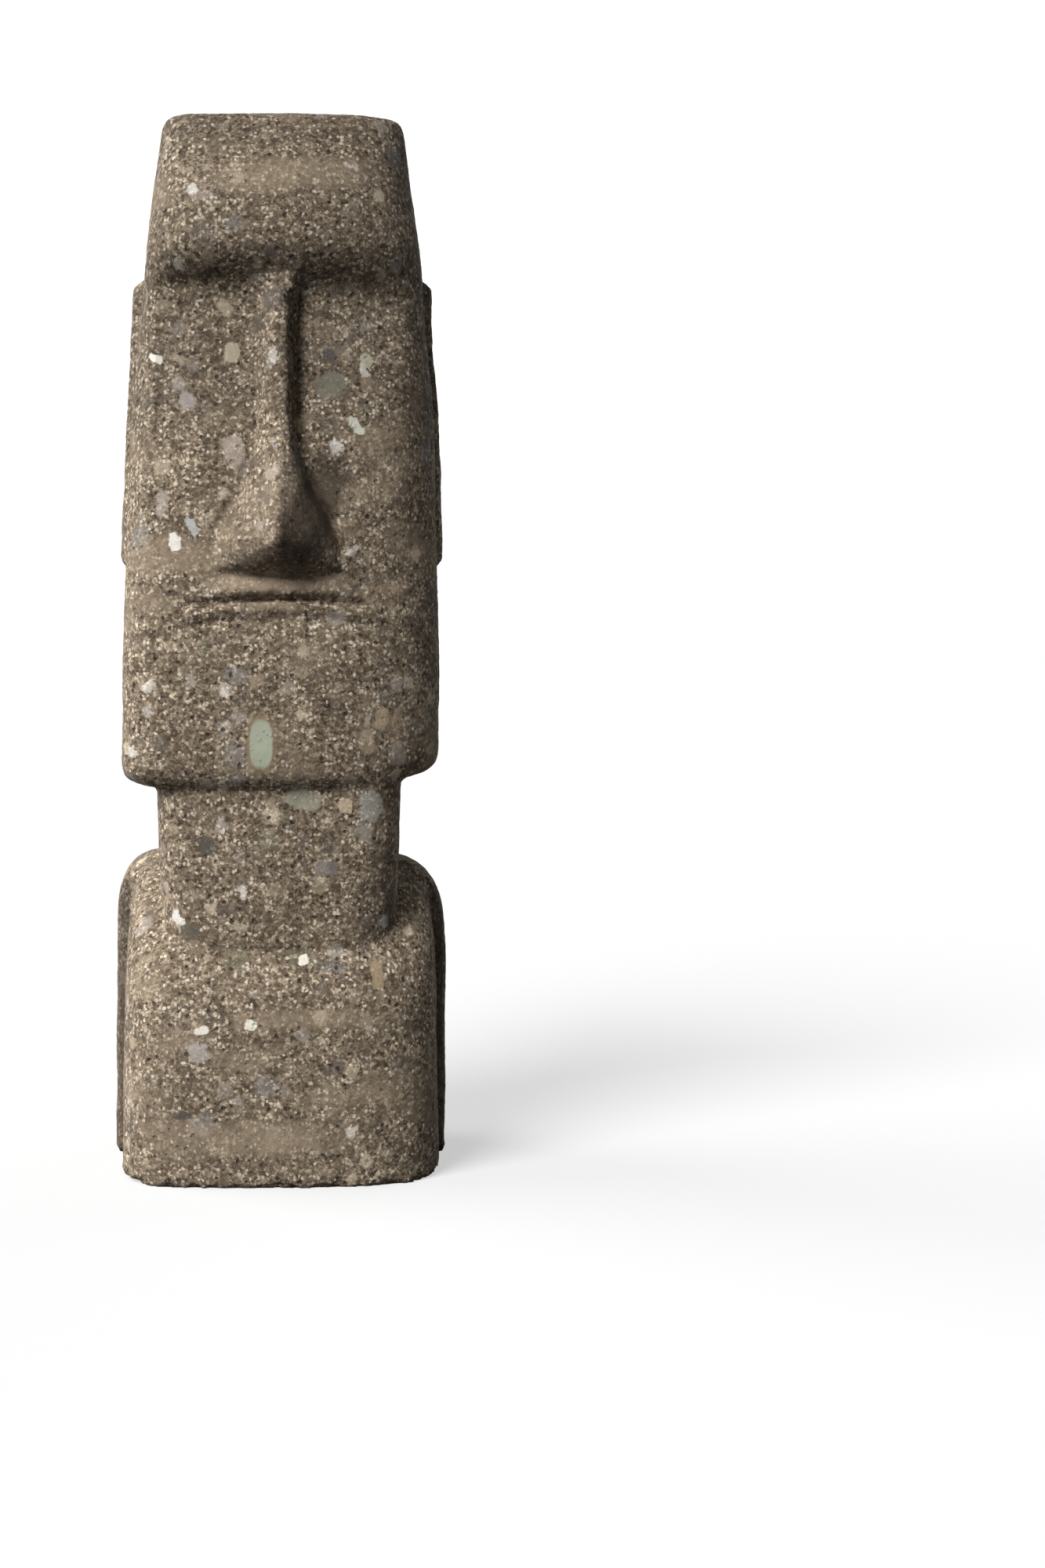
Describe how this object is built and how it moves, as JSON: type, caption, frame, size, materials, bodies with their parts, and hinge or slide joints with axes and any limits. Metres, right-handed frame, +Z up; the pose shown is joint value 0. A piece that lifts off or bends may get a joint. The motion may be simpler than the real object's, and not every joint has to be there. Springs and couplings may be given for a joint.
{
  "type": "moai statue",
  "caption": "Standing carved stone figure with a long head, heavy brow, long nose and ears, on a short neck and block torso, for a garden or shelf.",
  "frame": {"origin": "middle of the underside, on the surface the figure stands on", "axes": "+Z up, the face looks towards -Y, +X is to the right of someone facing it"},
  "size_m": [0.0986, 0.0906, 0.3016],
  "materials": {
    "tuff": "rough grey-brown volcanic tuff with pale and dark grains"
  },
  "bodies": {
    "root": {"moai_figure": "tuff"}
  },
  "joints": []
}
